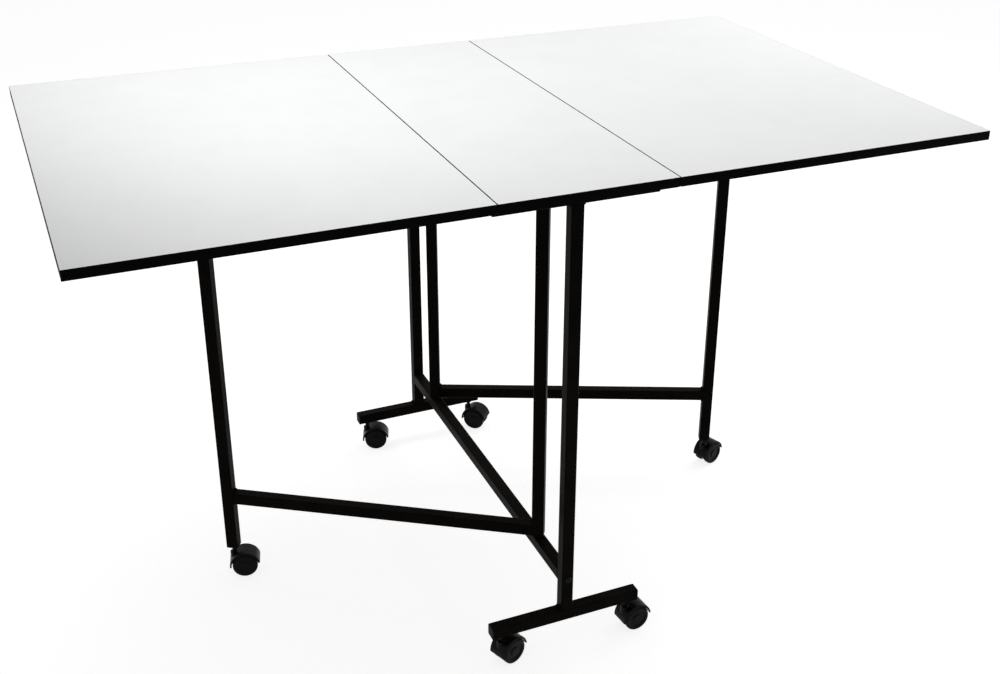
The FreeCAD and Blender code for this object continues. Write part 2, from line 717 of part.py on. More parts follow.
def hood(label):
    """A caster's body, with the axle on its Y axis: a cover over the wheels, a stem boss, and a web that fills the
    room between the wheels. The cover's lower edge slopes up from the stem's side.
    """
    body = body_named(label)
    cover_bore = wheel_radius + size.hood_clearance
    cover_radius = cover_bore + size.hood_thickness
    cover_width = (wheel_inner_face + size.wheel_width + size.hood_lip) * 2
    drum = sketch_on(body, "XZ_Plane", "drum")
    draw_circle(drum, 0, 0, cover_radius)
    drum_pad = pad(body, drum, cover_width, "Symmetric")
    round_edges(body, drum_pad, size.hood_round, is_circle_of(cover_radius.value))
    boss = sketch_on(body, "XY_Plane", "boss")
    draw_circle(boss, -size.caster_trail, 0, size.boss_diameter / 2)
    pad(body, boss, size.boss_height - wheel_radius)
    for side, lift, backwards in (("front", half_web, True), ("back", -half_web, False)):
        wheel_room = sketch_on(body, "XZ_Plane", f"{side}_wheel_room", lift)
        draw_circle(wheel_room, 0, 0, cover_bore)
        pocket(body, wheel_room, side="One side", backwards=backwards)
    below = sketch_on(body, "XZ_Plane", "below")
    outside = cover_radius + size.hood_thickness
    draw_polygon(below, [(-outside, -outside), (outside, -outside),
                         (outside, size.hood_front_rise), (-outside, -size.hood_back_drop)])
    pocket(body, below)
    web = sketch_on(body, "XZ_Plane", "web")
    draw_circle(web, 0, 0, wheel_radius - size.web_inset)
    pad(body, web, size.web_thickness, "Symmetric")
    axle_bore = sketch_on(body, "XZ_Plane", "axle_bore")
    draw_circle(axle_bore, 0, 0, size.axle_diameter / 2 + size.fit_clearance)
    pocket(body, axle_bore)
    stem_bore = sketch_on(body, "XY_Plane", "stem_bore", stem_bottom - size.running_gap - wheel_radius)
    draw_circle(stem_bore, -size.caster_trail, 0, size.stem_diameter / 2 + size.fit_clearance)
    pocket(body, stem_bore, side="One side", backwards=True)
    return body


def casters(places):
    """A hood, an axle and a pair of wheels under each stem, trailing at the angle that it came to rest at."""
    wheel = caster_wheel()
    axle_length = (wheel_inner_face + size.wheel_width - size.wheel_cap_thickness - size.running_gap) * 2
    for name, (stem_place_x, stem_place_y, angle) in places.items():
        x = stem_place_x + size.caster_trail * cosine(angle)
        y = stem_place_y + size.caster_trail * sine(angle)
        place(node(hood(f"{name}_caster_hood")), x, y, wheel_radius, angle)
        axle = body_named(f"{name}_caster_axle")
        section = sketch_on(axle, "XZ_Plane", "section")
        draw_circle(section, 0, 0, size.axle_diameter / 2)
        pad(axle, section, axle_length, "Symmetric")
        place(node(axle), x, y, wheel_radius, angle)
        pair = []
        for side, turn in (("back", angle), ("front", angle + HALF_TURN)):
            link = copy_of(wheel, f"{name}_{side}_wheel")
            side_x = x - wheel_inner_face * sine(turn)
            side_y = y + wheel_inner_face * cosine(turn)
            pair.append(place(link, side_x, side_y, wheel_radius, turn))
        group(f"{name}_caster_wheels", pair)


def main():
    top()
    hinges()
    screws()
    fixed_frame()
    end_fittings()
    pivot_pins()
    left_leg = gate("left_gate", -pivot_y, as_size(HALF_TURN) - size.left_gate_angle)
    right_leg = gate("right_gate", pivot_y, -size.right_gate_angle)
    casters({
        "front_left": (-stem_x, -post_y, size.front_left_trail_angle),
        "front_right": (stem_x, -post_y, size.front_right_trail_angle),
        "back_left": (-stem_x, post_y, size.back_left_trail_angle),
        "back_right": (stem_x, post_y, size.back_right_trail_angle),
        "left_gate": (*left_leg, size.left_gate_trail_angle),
        "right_gate": (*right_leg, size.right_gate_trail_angle),
    })
    doc.recompute()
    failed = [item.Label for item in doc.Objects if {"Invalid", "Error"} & set(item.State)]
    if failed:
        raise RuntimeError(f"objects that did not build: {failed}")
    bad = [item.Label for item in nodes if item.Shape.isNull() or not item.Shape.isValid()]
    if bad:
        raise RuntimeError(f"shapes that are not valid: {bad}")
    os.makedirs("parts", exist_ok=True)
    for item in nodes:
        item.Shape.exportStep(f"parts/{item.Label}.step")
    print(f"{len(nodes)} nodes written")


main()
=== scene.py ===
"""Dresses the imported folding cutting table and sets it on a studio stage.

The frame's nodes keep their places. Finishes go onto them, and finer pieces stand in for the edge strips,
screws, bolts, tube plugs and wheels. Weld beads are added where tubes are joined. Lengths are in metres, in
the frame's own axes.
"""
import json
import math

import bpy
import numpy as np
from bpy.props import FloatProperty, FloatVectorProperty, PointerProperty
from mathutils import Matrix, Vector


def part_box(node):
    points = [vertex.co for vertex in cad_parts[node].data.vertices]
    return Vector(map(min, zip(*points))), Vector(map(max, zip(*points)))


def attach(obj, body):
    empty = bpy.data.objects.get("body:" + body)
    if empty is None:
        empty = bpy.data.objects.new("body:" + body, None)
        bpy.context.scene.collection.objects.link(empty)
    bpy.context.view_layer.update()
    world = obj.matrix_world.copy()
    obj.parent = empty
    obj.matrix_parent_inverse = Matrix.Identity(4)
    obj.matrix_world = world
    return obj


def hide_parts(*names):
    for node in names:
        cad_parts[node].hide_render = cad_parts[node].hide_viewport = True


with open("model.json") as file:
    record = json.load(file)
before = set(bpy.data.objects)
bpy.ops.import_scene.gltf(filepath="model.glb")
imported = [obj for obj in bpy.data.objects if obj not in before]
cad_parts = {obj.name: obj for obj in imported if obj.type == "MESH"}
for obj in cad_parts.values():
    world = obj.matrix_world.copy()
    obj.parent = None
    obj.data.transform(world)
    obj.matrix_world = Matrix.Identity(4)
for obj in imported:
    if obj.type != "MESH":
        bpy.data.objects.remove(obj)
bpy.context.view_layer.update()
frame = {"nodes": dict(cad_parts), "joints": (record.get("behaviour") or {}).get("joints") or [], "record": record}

bl_info = {
    "name": "Folding cutting table",
    "version": (1, 0, 0),
    "blender": (4, 5, 0),
    "location": "View3D > Sidebar > Cutting Table",
    "description": "Finishes and fine pieces for a packed folding cutting table",
    "category": "Object",
}

# What the frame gives
BODIES = frame["record"]["behaviour"]["bodies"]
BODY_OF = {node: body for body, nodes in BODIES.items() for node in nodes}
SLOT_OF = {part["node"]: part["material_slot"] for part in frame["record"]["subparts"]}
JOINT_AT = {joint["name"]: np.array(joint["pos_m"]) for joint in frame["joints"]}
JOINT_AXIS = {joint["name"]: np.array(joint["axis"], float) for joint in frame["joints"]}

# Groups of like pieces
BOARDS = ("centre_panel", "left_leaf", "right_leaf")
EDGE_BANDS = ("centre_edge_band", "left_leaf_edge_band", "right_leaf_edge_band")
SCREWS = ("centre_panel_screws", "left_leaf_screws", "right_leaf_screws")
GATES = ("left_gate", "right_gate")
CASTERS = ("front_left", "front_right", "back_left", "back_right", "left_gate", "right_gate")

# Directions and turns
X, Y, Z = np.eye(3)
IN_PLAN = X + Y
HEAD_DOWN = np.stack([X, -Y, -Z])
QUARTER_TURN = np.pi / 2
FULL_TURN = 2 * np.pi

# Shared by all surfaces
SHARP_ANGLE = math.radians(35.0)
TIP_RADIUS = 1e-5
WEAR = "wear"


def length_setting(name, text, default):
    """A length that a user can change."""
    return FloatProperty(name=name, description=text, default=default, min=0.0, unit="LENGTH", precision=5)


def amount_setting(name, text, default):
    """A plain number that a user can change."""
    return FloatProperty(name=name, description=text, default=default)


def power_setting(name, text, default):
    """A lamp's power that a user can change."""
    return FloatProperty(name=name, description=text, default=default, unit="POWER")


def angle_setting(name, text, degrees):
    """An angle that a user can change, from its default in degrees."""
    return FloatProperty(name=name, description=text, default=math.radians(degrees), subtype="ANGLE")


def colour_setting(name, text, default):
    """A colour that a user can change."""
    return FloatVectorProperty(
        name=name, description=text, default=default, size=3, subtype="COLOR", min=0.0, max=1.0)


def place_setting(name, text, default):
    """A place that a user can change."""
    return FloatVectorProperty(
        name=name, description=text, default=default, subtype="TRANSLATION", unit="LENGTH")


class TableFinishes(bpy.types.PropertyGroup):
    """Colours of the table's finishes."""

    board: colour_setting("Board face", "Melamine face of the top", (0.857, 0.862, 0.865))
    strip: colour_setting("Edge strip", "Strip round each board", (0.0012, 0.0012, 0.0012))
    coat: colour_setting("Powder coat", "Paint on the tubes", (0.0086, 0.0072, 0.0058))
    dust: colour_setting("Dust", "Dust on faces that look up", (0.022, 0.02, 0.017))
    nylon: colour_setting("Nylon", "Plugs, bushes and sockets", (0.0035, 0.0035, 0.0035))
    hood: colour_setting("Caster shell", "Caster hoods", (0.0022, 0.0022, 0.0023))
    tread: colour_setting("Caster wheel", "Caster wheels", (0.0032, 0.0032, 0.0032))
    zinc: colour_setting("Zinc plate", "Hinges, screws and pins", (0.46, 0.465, 0.47))
    plated: colour_setting("Black plate", "Bolts and stems", (0.005, 0.005, 0.0055))


class TableDetails(bpy.types.PropertyGroup):
    """Sizes of the fine pieces."""

    strip_thickness: length_setting("Strip thickness", "Thickness of the edge strips", 0.0004)
    strip_round: length_setting("Strip round", "Radius on the strips' long edges", 0.00015)
    strip_corner: length_setting("Strip corner", "Radius at the boards' corners, seen from above", 0.0012)
    tube_side: length_setting("Tube side", "Side of the square tube", 0.022)
    tube_corner: length_setting("Tube corner", "Radius of the tube's corners", 0.0025)
    tube_wall: length_setting("Tube wall", "Wall of the square tube", 0.0015)
    weld_leg: length_setting("Weld leg", "Size of the weld beads", 0.0032)
    weld_pitch: length_setting("Weld pitch", "Distance between a bead's ripples", 0.0017)
    plug_round: length_setting("Plug round", "Radius on the plugs' outer edges", 0.0011)
    plug_crown: length_setting("Plug crown", "Rise of the plugs' faces", 0.0006)
    plug_play: length_setting("Plug play", "How much narrower a plug is than its tube's bore", 0.0001)
    leg_plug: length_setting("Leg plug length", "How far a leg's plug reaches into its tube", 0.02)
    end_plug: length_setting("End plug length", "How far the other plugs reach into their tubes", 0.0117)
    screw_head: length_setting("Screw head", "Diameter of the wood screws' heads", 0.006)
    screw_head_height: length_setting("Screw head height", "Height of the wood screws' heads", 0.0016)
    screw_shank: length_setting("Screw shank", "Diameter of the wood screws", 0.0032)
    bolt_head: length_setting("Bolt head", "Diameter of the rail bolts' heads", 0.011)
    bolt_head_height: length_setting("Bolt head height", "Height of the rail bolts' heads", 0.0033)
    bolt_shank: length_setting("Bolt shank", "Diameter of the rail bolts", 0.006)
    nut_length: length_setting("Nut length", "Length of the nut blocks in the rails", 0.012)
    wheel_width: length_setting("Wheel width", "Width of one caster wheel", 0.0124)
    wheel_start: length_setting("Wheel start", "From a caster's middle to a wheel's inner face", 0.00525)
    wheel_round: length_setting("Wheel round", "Radius on the wheels' shoulders", 0.003)
    wheel_crown: length_setting("Wheel crown", "Swell of the wheels' treads", 0.00015)
    wheel_dish: length_setting("Wheel dish", "Radius of the hollow in a wheel's side", 0.018)
    wheel_dish_depth: length_setting("Wheel dish depth", "Depth of that hollow", 0.002)
    wheel_hub: length_setting("Wheel hub", "Radius of a wheel's hub", 0.0075)
    wheel_bore: length_setting("Wheel bore", "Radius of a wheel's bore", 0.00305)


class TableStage(bpy.types.PropertyGroup):
    """Light, floor and camera."""

    floor: colour_setting("Floor", "Colour of the floor", (0.62, 0.62, 0.62))
    floor_glow: amount_setting("Floor glow", "White that the floor shows by itself", 0.83)
    floor_reach: length_setting("Floor reach", "From the middle of the floor to its sides", 40.0)
    floor_drop: length_setting("Floor drop", "How far the floor lies under the wheels", 0.0004)
    ambient: amount_setting("Ambient", "Strength of the light from all round", 0.224)
    left_power: power_setting("Left power", "Power of the left lamp", 16.9)
    left_size: length_setting("Left size", "Side of the left lamp", 1.45)
    left_place: place_setting("Left place", "Place of the left lamp", (-0.426, 0.189, 2.0))
    left_aim: place_setting("Left aim", "Point that the left lamp looks at", (1.0, 0.653, 0.85))
    right_power: power_setting("Right power", "Power of the right lamp", 14.5)
    right_size: length_setting("Right size", "Side of the right lamp", 1.2)
    right_place: place_setting("Right place", "Place of the right lamp", (1.498, 0.442, 2.0))
    right_aim: place_setting("Right aim", "Point that the right lamp looks at", (1.5, 0.262, 0.85))
    camera_place: place_setting("Camera", "Place of the camera", (-0.824346, -2.064252, 1.583307))
    camera_turn: angle_setting("Turn", "Camera's turn about the vertical", -23.955)
    camera_tilt: angle_setting("Tilt", "Camera's tilt up from looking down", 65.353)
    camera_roll: angle_setting("Roll", "Camera's roll about its view", 0.623)
    camera_lens: FloatProperty(name="Lens", description="Focal length", default=46.941, unit="CAMERA")
    camera_shift: FloatVectorProperty(
        name="Shift", description="Shift of the picture", size=2, default=(-0.0265, -0.05952))


# Surfaces


def grid_faces(rows, columns, closed=False):
    """Quads between each row of points and the next, round from the last point of a row to its first, and
    from the last row to the first where the grid is closed.
    """
    row = np.arange(rows if closed else rows - 1)[:, None]
    column = np.arange(columns)[None, :]
    start = row * columns
    after = (row + 1) % rows * columns
    beside = (column + 1) % columns
    corners = [start + column, start + beside, after + beside, after + column]
    return np.stack(corners, axis=-1).reshape(-1, 4)


def rounded_outline(width, height, corner, steps):
    """Outline of a rectangle with round corners, anticlockwise, and its outward normals: each corner's
    centre plus the corner radius times the unit circle over that corner's quarter turn.
    """
    angle = np.arange(4)[:, None] * QUARTER_TURN + np.linspace(0, QUARTER_TURN, steps + 1)[None, :]
    right = np.array([1, -1, -1, 1])[:, None]
    up = np.array([1, 1, -1, -1])[:, None]
    across = right * (width / 2 - corner) + corner * np.cos(angle)
    along = up * (height / 2 - corner) + corner * np.sin(angle)
    outline = np.stack([across, along], axis=-1).reshape(-1, 2)
    outward = np.stack([np.cos(angle), np.sin(angle)], axis=-1).reshape(-1, 2)
    return outline, outward


def raised(outline, height):
    """A flat outline set at a height."""
    return np.column_stack([outline, np.full(len(outline), height)])


def placed(points, origin, axes):
    """Points from a local frame, whose axes are the rows of axes, to the table's frame."""
    return np.asarray(origin) + points @ np.asarray(axes)


def upright(along):
    """A right-handed local frame whose third axis runs along the given direction."""
    steep = 0.9
    along = np.asarray(along, float) / np.linalg.norm(along)
    side = np.cross(Z if abs(along[2]) < steep else X, along)
    side /= np.linalg.norm(side)
    return np.stack([side, np.cross(along, side), along])


def smooth_step(value):
    """0 below 0, 1 above 1, and three squares less two cubes between."""
    value = np.clip(value, 0, 1)
    return value * value * (3 - 2 * value)


class Surfaces:
    """The surfaces of one piece, gathered before they become a mesh."""

    def __init__(self):
        self.points = []
        self.faces = []
        self.wear = []
        self.total = 0

    def add(self, points, face_groups, wear=None):
        """Add points, arrays of faces that number them from 0, and how worn each point is."""
        points = np.asarray(points, float).reshape(-1, 3)
        self.points.append(points)
        for faces in face_groups:
            self.faces += (faces + self.total).tolist()
        self.wear.append(np.zeros(len(points)) if wear is None else np.asarray(wear, float).reshape(-1))
        self.total += len(points)

    def loft(self, rings, wear=None):
        """A closed skin: quads between neighbouring rings, and one flat face over each end."""
        rows, columns = rings.shape[:2]
        ring = np.arange(columns)
        ends = np.stack([ring[::-1], ring + (rows - 1) * columns])
        self.add(rings, [grid_faces(rows, columns), ends], wear)

    def hoop(self, rings):
        """A closed skin whose last ring joins its first."""
        self.add(rings, [grid_faces(*rings.shape[:2], closed=True)])

    def turned(self, radius, height, steps, origin, axes, lift=None, wear=None):
        """A turned solid: a circle of each radius at each height, plus lift(x, y, z) in height."""
        angle = np.linspace(0, FULL_TURN, steps, endpoint=False)
        radius = np.asarray(radius, float)
        height = np.asarray(height, float)
        x = radius[:, None] * np.cos(angle)
        y = radius[:, None] * np.sin(angle)
        z = np.repeat(height[:, None], steps, axis=1)
        if lift is not None:
            z = z + lift(x, y, z)
        if wear is not None:
            wear = np.repeat(np.asarray(wear, float)[:, None], steps, axis=1)
        self.loft(placed(np.stack([x, y, z], axis=-1), origin, axes), wear)

    def piece(self, name, body, slot, material, *stands_for):
        """Make the mesh, put it on its body, and hide the nodes that it stands for."""
        mesh = bpy.data.meshes.new(name)
        mesh.from_pydata(np.concatenate(self.points), [], self.faces)
        wear = mesh.attributes.new(WEAR, "FLOAT", "POINT")
        wear.data.foreach_set("value", np.concatenate(self.wear))
        mesh.polygons.foreach_set("use_smooth", np.ones(len(mesh.polygons), bool))
        mesh.set_sharp_from_angle(angle=SHARP_ANGLE)
        mesh.materials.append(material)
        mesh.validate()
        made = bpy.data.objects.new(name, mesh)
        bpy.context.scene.collection.objects.link(made)
        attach(made, body)
        if stands_for:
            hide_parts(*stands_for)


# Finishes


class Finish:
    """A new material, with short ways to add and join its nodes."""

    # Sockets of the colour mix, which share their names with others
    MIX_SHARE = 0
    MIX_FIRST = 6
    MIX_SECOND = 7
    MIX_RESULT = 2

    def __init__(self, name):
        self.material = bpy.data.materials.new(name)
        self.material.use_nodes = True
        self.tree = self.material.node_tree
        self.shader = self.tree.nodes["Principled BSDF"]
        self.place = self.add("ShaderNodeTexCoord").outputs["Object"]

    def add(self, kind, **settings):
        """A new node of a kind, with its settings."""
        node = self.tree.nodes.new(kind)
        for key, value in settings.items():
            setattr(node, key, value)
        return node

    def join(self, source, target):
        """Link an output to an input."""
        self.tree.links.new(source, target)

    def stretched(self, scale, turn=0.0):
        """Object coordinates, scaled by axis and turned about the vertical."""
        mapping = self.add("ShaderNodeMapping")
        mapping.inputs["Scale"].default_value = scale
        mapping.inputs["Rotation"].default_value[2] = turn
        self.join(self.place, mapping.inputs["Vector"])
        return mapping.outputs["Vector"]

    def noise(self, scale, detail=2.0, roughness=0.5, place=None):
        """Noise over Object coordinates, or over stretched ones."""
        node = self.add("ShaderNodeTexNoise")
        node.inputs["Scale"].default_value = scale
        node.inputs["Detail"].default_value = detail
        node.inputs["Roughness"].default_value = roughness
        self.join(place or self.place, node.inputs["Vector"])
        return node.outputs["Fac"]

    def spread(self, value, taken, given=(0.0, 1.0)):
        """Map the range taken to the range given, and hold it there."""
        node = self.add("ShaderNodeMapRange")
        for name, number in zip(("From Min", "From Max", "To Min", "To Max"), (*taken, *given)):
            node.inputs[name].default_value = number
        self.join(value, node.inputs["Value"])
        return node.outputs["Result"]

    def combine(self, operation, first, second):
        """An operation on two values, where each is a number or another node's output."""
        node = self.add("ShaderNodeMath", operation=operation)
        for socket, value in zip(node.inputs, (first, second)):
            if isinstance(value, (int, float)):
                socket.default_value = value
            else:
                self.join(value, socket)
        return node.outputs["Value"]

    def blend(self, share, first, second):
        """A colour between two, where each is a colour or another node's output."""
        node = self.add("ShaderNodeMix", data_type="RGBA")
        self.join(share, node.inputs[self.MIX_SHARE])
        for index, colour in ((self.MIX_FIRST, first), (self.MIX_SECOND, second)):
            if isinstance(colour, bpy.types.NodeSocket):
                self.join(colour, node.inputs[index])
            else:
                node.inputs[index].default_value = (*colour, 1.0)
        return node.outputs[self.MIX_RESULT]

    def toned(self, tone, colour, darker, lighter):
        """The colour, from its darker to its lighter shade as the tone rises."""
        return self.blend(self.spread(tone, (0.35, 0.7)), shade(colour, darker), shade(colour, lighter))

    def dulled(self, roughness, share, most):
        """The roughness, and up to most more of it where the share is full."""
        return self.combine("ADD", roughness, self.combine("MULTIPLY", share, most))

    def bump(self, height, strength, distance, below=None):
        """Normals of a height, on top of the normals below it."""
        node = self.add("ShaderNodeBump")
        node.inputs["Strength"].default_value = strength
        node.inputs["Distance"].default_value = distance
        self.join(height, node.inputs["Height"])
        if below is not None:
            self.join(below, node.inputs["Normal"])
        return node.outputs["Normal"]

    def facing_up(self):
        """How far the surface looks up, from 0 on its sides to 1 on its top."""
        split = self.add("ShaderNodeSeparateXYZ")
        self.join(self.add("ShaderNodeNewGeometry").outputs["Normal"], split.inputs["Vector"])
        return self.spread(split.outputs["Z"], (0.3, 1.0))

    def worn(self):
        """How worn the surface is."""
        return self.add("ShaderNodeAttribute", attribute_name=WEAR).outputs["Fac"]

    def done(self, colour, roughness, normal, **constants):
        """Join the shader's inputs, set the others, and give the material."""
        self.join(colour, self.shader.inputs["Base Color"])
        self.join(roughness, self.shader.inputs["Roughness"])
        self.join(normal, self.shader.inputs["Normal"])
        for name, value in constants.items():
            self.shader.inputs[name.replace("_", " ")].default_value = value
        return self.material


def shade(colour, factor):
    """A colour times a factor."""
    return tuple(channel * factor for channel in colour)


def finish_nodes(material, nodes):
    """Give CAD nodes a material."""
    for node in nodes:
        slots = frame["nodes"][node].material_slots
        if not slots:
            frame["nodes"][node].data.materials.append(material)
        for slot in slots:
            slot.material = material


def board_face(colour):
    """Pale melamine face: faint clouding and smudges, a fine pressed grain, and hairline cuts that only
    catch the light.
    """
    finish = Finish("board_face")
    cloud = finish.noise(scale=4.0, detail=3.0)
    smudge = finish.noise(scale=13.0, detail=6.0, roughness=0.62)
    fleck = finish.noise(scale=1400.0)
    base = finish.blend(finish.spread(cloud, (0.35, 0.65)), shade(colour, 0.985), colour)
    base = finish.blend(finish.spread(smudge, (0.46, 0.66)), base, shade(colour, 0.972))
    base = finish.blend(finish.spread(fleck, (0.55, 0.75), (0.0, 0.35)), base, shade(colour, 0.94))
    cuts = []
    for scale, turn in (((3.0, 170.0, 1.0), 0.35), ((4.0, 210.0, 1.0), 1.9), ((2.0, 150.0, 1.0), -0.8)):
        line = finish.noise(scale=1.0, detail=1.0, roughness=0.4, place=finish.stretched(scale, turn))
        cuts.append(finish.spread(line, (0.735, 0.76)))
    cut = finish.combine("MAXIMUM", finish.combine("MAXIMUM", cuts[0], cuts[1]), cuts[2])
    sheen = finish.spread(finish.noise(scale=11.0, detail=4.0), (0.3, 0.7), (0.30, 0.40))
    rough = finish.dulled(sheen, cut, most=0.10)
    grain = finish.bump(finish.noise(scale=800.0, detail=3.0), strength=0.10, distance=0.00015)
    sunk = finish.combine("MULTIPLY", cut, -1.0)
    normal = finish.bump(sunk, strength=0.12, distance=0.0001, below=grain)
    return finish.done(base, rough, normal, Specular_IOR_Level=0.26)


def edge_strip(colour):
    """Black strip with drawn lines along its length, and a duller, greyer bloom in places."""
    finish = Finish("edge_strip")
    drawn = finish.noise(scale=1.0, place=finish.stretched((12.0, 12.0, 2600.0)))
    bloom = finish.noise(scale=30.0, detail=3.0)
    base = finish.blend(finish.spread(bloom, (0.4, 0.75)), colour, shade(colour, 1.8))
    rough = finish.spread(finish.combine("ADD", drawn, bloom), (0.7, 1.3), (0.42, 0.58))
    normal = finish.bump(drawn, strength=0.10, distance=0.0002)
    return finish.done(base, rough, normal, Specular_IOR_Level=0.02)


def powder_coat(colour, dust):
    """Satin black powder coat: orange peel, small shade changes, and a little dust where it looks up."""
    finish = Finish("powder_coat")
    tone = finish.noise(scale=22.0, detail=4.0)
    base = finish.toned(tone, colour, darker=0.75, lighter=1.35)
    specks = finish.spread(finish.noise(scale=160.0, detail=5.0, roughness=0.65), (0.42, 0.72), (0.0, 0.45))
    lying = finish.combine("MULTIPLY", finish.facing_up(), specks)
    base = finish.blend(lying, base, dust)
    rough = finish.dulled(finish.spread(tone, (0.3, 0.7), (0.36, 0.46)), lying, most=0.3)
    pores = finish.bump(finish.noise(scale=2600.0, detail=1.0), strength=0.06, distance=0.0001)
    normal = finish.bump(finish.noise(scale=650.0), strength=0.16, distance=0.0003, below=pores)
    tint = (1.0, 0.88, 0.79, 1.0)
    return finish.done(base, rough, normal, Specular_IOR_Level=0.012, Specular_Tint=tint)


def moulded_nylon(colour, dust):
    """Matt moulded nylon with a fine eroded grain."""
    finish = Finish("moulded_nylon")
    tone = finish.noise(scale=70.0, detail=3.0)
    base = finish.toned(tone, colour, darker=0.8, lighter=1.4)
    lying = finish.combine("MULTIPLY", finish.facing_up(), finish.spread(tone, (0.45, 0.8), (0.0, 0.35)))
    base = finish.blend(lying, base, dust)
    rough = finish.spread(finish.noise(scale=300.0, detail=3.0), (0.3, 0.7), (0.48, 0.62))
    normal = finish.bump(finish.noise(scale=2400.0), strength=0.14, distance=0.0002)
    return finish.done(base, rough, normal, Specular_IOR_Level=0.05)


def caster_shell(colour, dust):
    """Satin moulded shell with a faint grain, and dust on its crown."""
    finish = Finish("caster_shell")
    tone = finish.noise(scale=90.0, detail=3.0)
    base = finish.toned(tone, colour, darker=0.8, lighter=1.3)
    specks = finish.spread(finish.noise(scale=240.0, detail=5.0, roughness=0.6), (0.45, 0.75), (0.0, 0.35))
    lying = finish.combine("MULTIPLY", finish.facing_up(), specks)
    base = finish.blend(lying, base, dust)
    rough = finish.dulled(finish.spread(tone, (0.3, 0.7), (0.26, 0.36)), lying, most=0.3)
    normal = finish.bump(finish.noise(scale=1500.0), strength=0.07, distance=0.0002)
    return finish.done(base, rough, normal, Specular_IOR_Level=0.07)


def caster_wheel(colour, dust):
    """Hard nylon wheel: scuffed grey where it rolls, satin on its sides."""
    finish = Finish("caster_wheel")
    tone = finish.noise(scale=140.0, detail=3.0)
    base = finish.toned(tone, colour, darker=0.8, lighter=1.3)
    scuffs = finish.spread(finish.noise(scale=420.0, detail=5.0, roughness=0.7), (0.42, 0.68), (0.15, 0.8))
    rolled = finish.combine("MULTIPLY", finish.worn(), scuffs)
    base = finish.blend(rolled, base, dust)
    rough = finish.dulled(finish.spread(tone, (0.3, 0.7), (0.34, 0.44)), rolled, most=0.3)
    normal = finish.bump(finish.noise(scale=900.0, detail=4.0), strength=0.10, distance=0.0002)
    return finish.done(base, rough, normal, Specular_IOR_Level=0.06)


def zinc_plate(colour):
    """Bright zinc plating, clouded bluish and straw, with fine handling scratches."""
    finish = Finish("zinc_plate")
    cloud = finish.noise(scale=130.0, detail=5.0)
    straw = (colour[0] * 1.04, colour[1], colour[2] * 0.9)
    base = finish.blend(finish.spread(cloud, (0.35, 0.7)), shade(colour, 0.88), straw)
    handled = finish.stretched((60.0, 1500.0, 400.0), turn=0.5)
    scratch = finish.noise(scale=1.0, roughness=0.6, place=handled)
    rough = finish.spread(finish.combine("ADD", cloud, scratch), (0.7, 1.35), (0.26, 0.46))
    normal = finish.bump(scratch, strength=0.06, distance=0.0001)
    return finish.done(base, rough, normal, Metallic=1.0)


def black_plate(colour):
    """Black plated steel with a thin oily sheen that changes from place to place."""
    finish = Finish("black_plate")
    cloud = finish.noise(scale=160.0, detail=4.0)
    base = finish.toned(cloud, colour, darker=0.75, lighter=1.4)
    rough = finish.spread(cloud, (0.3, 0.7), (0.30, 0.46))
    normal = finish.bump(finish.noise(scale=1800.0), strength=0.08, distance=0.0002)
    return finish.done(base, rough, normal, Metallic=0.6, Specular_IOR_Level=0.12)


def studio_rays(tree):
    """1 for rays from the camera, from gloss and through glass, and 0 for the rest."""
    path = tree.nodes.new("ShaderNodeLightPath")
    shown = path.outputs["Is Camera Ray"]
    for name in ("Is Glossy Ray", "Is Transmission Ray"):
        most = tree.nodes.new("ShaderNodeMath")
        most.operation = "MAXIMUM"
        tree.links.new(shown, most.inputs[0])
        tree.links.new(path.outputs[name], most.inputs[1])
        shown = most.outputs["Value"]
    return shown


def studio_floor(colour, glow):
    """Pale matt floor that adds its own white where it is seen, so that only the table's shadow tones it.
    From below it is clear, so that the table's underside can be looked at.
    """
    finish = Finish("studio_floor")
    tone = finish.spread(finish.noise(scale=0.8), (0.3, 0.7))
    base = finish.blend(tone, shade(colour, 0.99), colour)
    rough = finish.spread(tone, (0.0, 1.0), (0.85, 0.9))
    normal = finish.bump(finish.noise(scale=300.0, detail=1.0), strength=0.02, distance=0.0002)
    strength = finish.combine("MULTIPLY", studio_rays(finish.tree), glow)
    finish.shader.inputs["Emission Color"].default_value = (1.0, 1.0, 1.0, 1.0)
    finish.join(strength, finish.shader.inputs["Emission Strength"])
    either = finish.add("ShaderNodeMixShader")
    share, from_above, from_below = either.inputs
    finish.join(finish.add("ShaderNodeNewGeometry").outputs["Backfacing"], share)
    finish.join(finish.shader.outputs["BSDF"], from_above)
    finish.join(finish.add("ShaderNodeBsdfTransparent").outputs["BSDF"], from_below)
    finish.join(either.outputs["Shader"], finish.tree.nodes["Material Output"].inputs["Surface"])
    return finish.done(base, rough, normal, Specular_IOR_Level=0.0)


# Pieces


def corners_of(node):
    """Lowest and highest corner of a node, as arrays."""
    low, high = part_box(node)
    return np.array(low), np.array(high)


def nodes_in(slot):
    """The nodes that have a material slot."""
    return [node for node, named in SLOT_OF.items() if named == slot]


def solids_of(node, reach):
    """Lowest and highest corner of each separate solid of a node, whose points lie within reach in plan."""
    vertices = frame["nodes"][node].data.vertices
    points = np.empty(3 * len(vertices))
    vertices.foreach_get("co", points)
    points = points.reshape(-1, 3)
    found = []
    while len(points):
        near = np.linalg.norm(points[:, :2] - points[0, :2], axis=1) < reach
        levels = np.sort(points[near, 2])
        steps = np.diff(levels)
        parted = steps.max(initial=0) > reach
        split = levels[np.argmax(steps)] if parted else levels[-1]
        mine = near & ((points[:, 2] <= split) == (points[0, 2] <= split))
        found.append((points[mine].min(axis=0), points[mine].max(axis=0)))
        points = points[~mine]
    return found


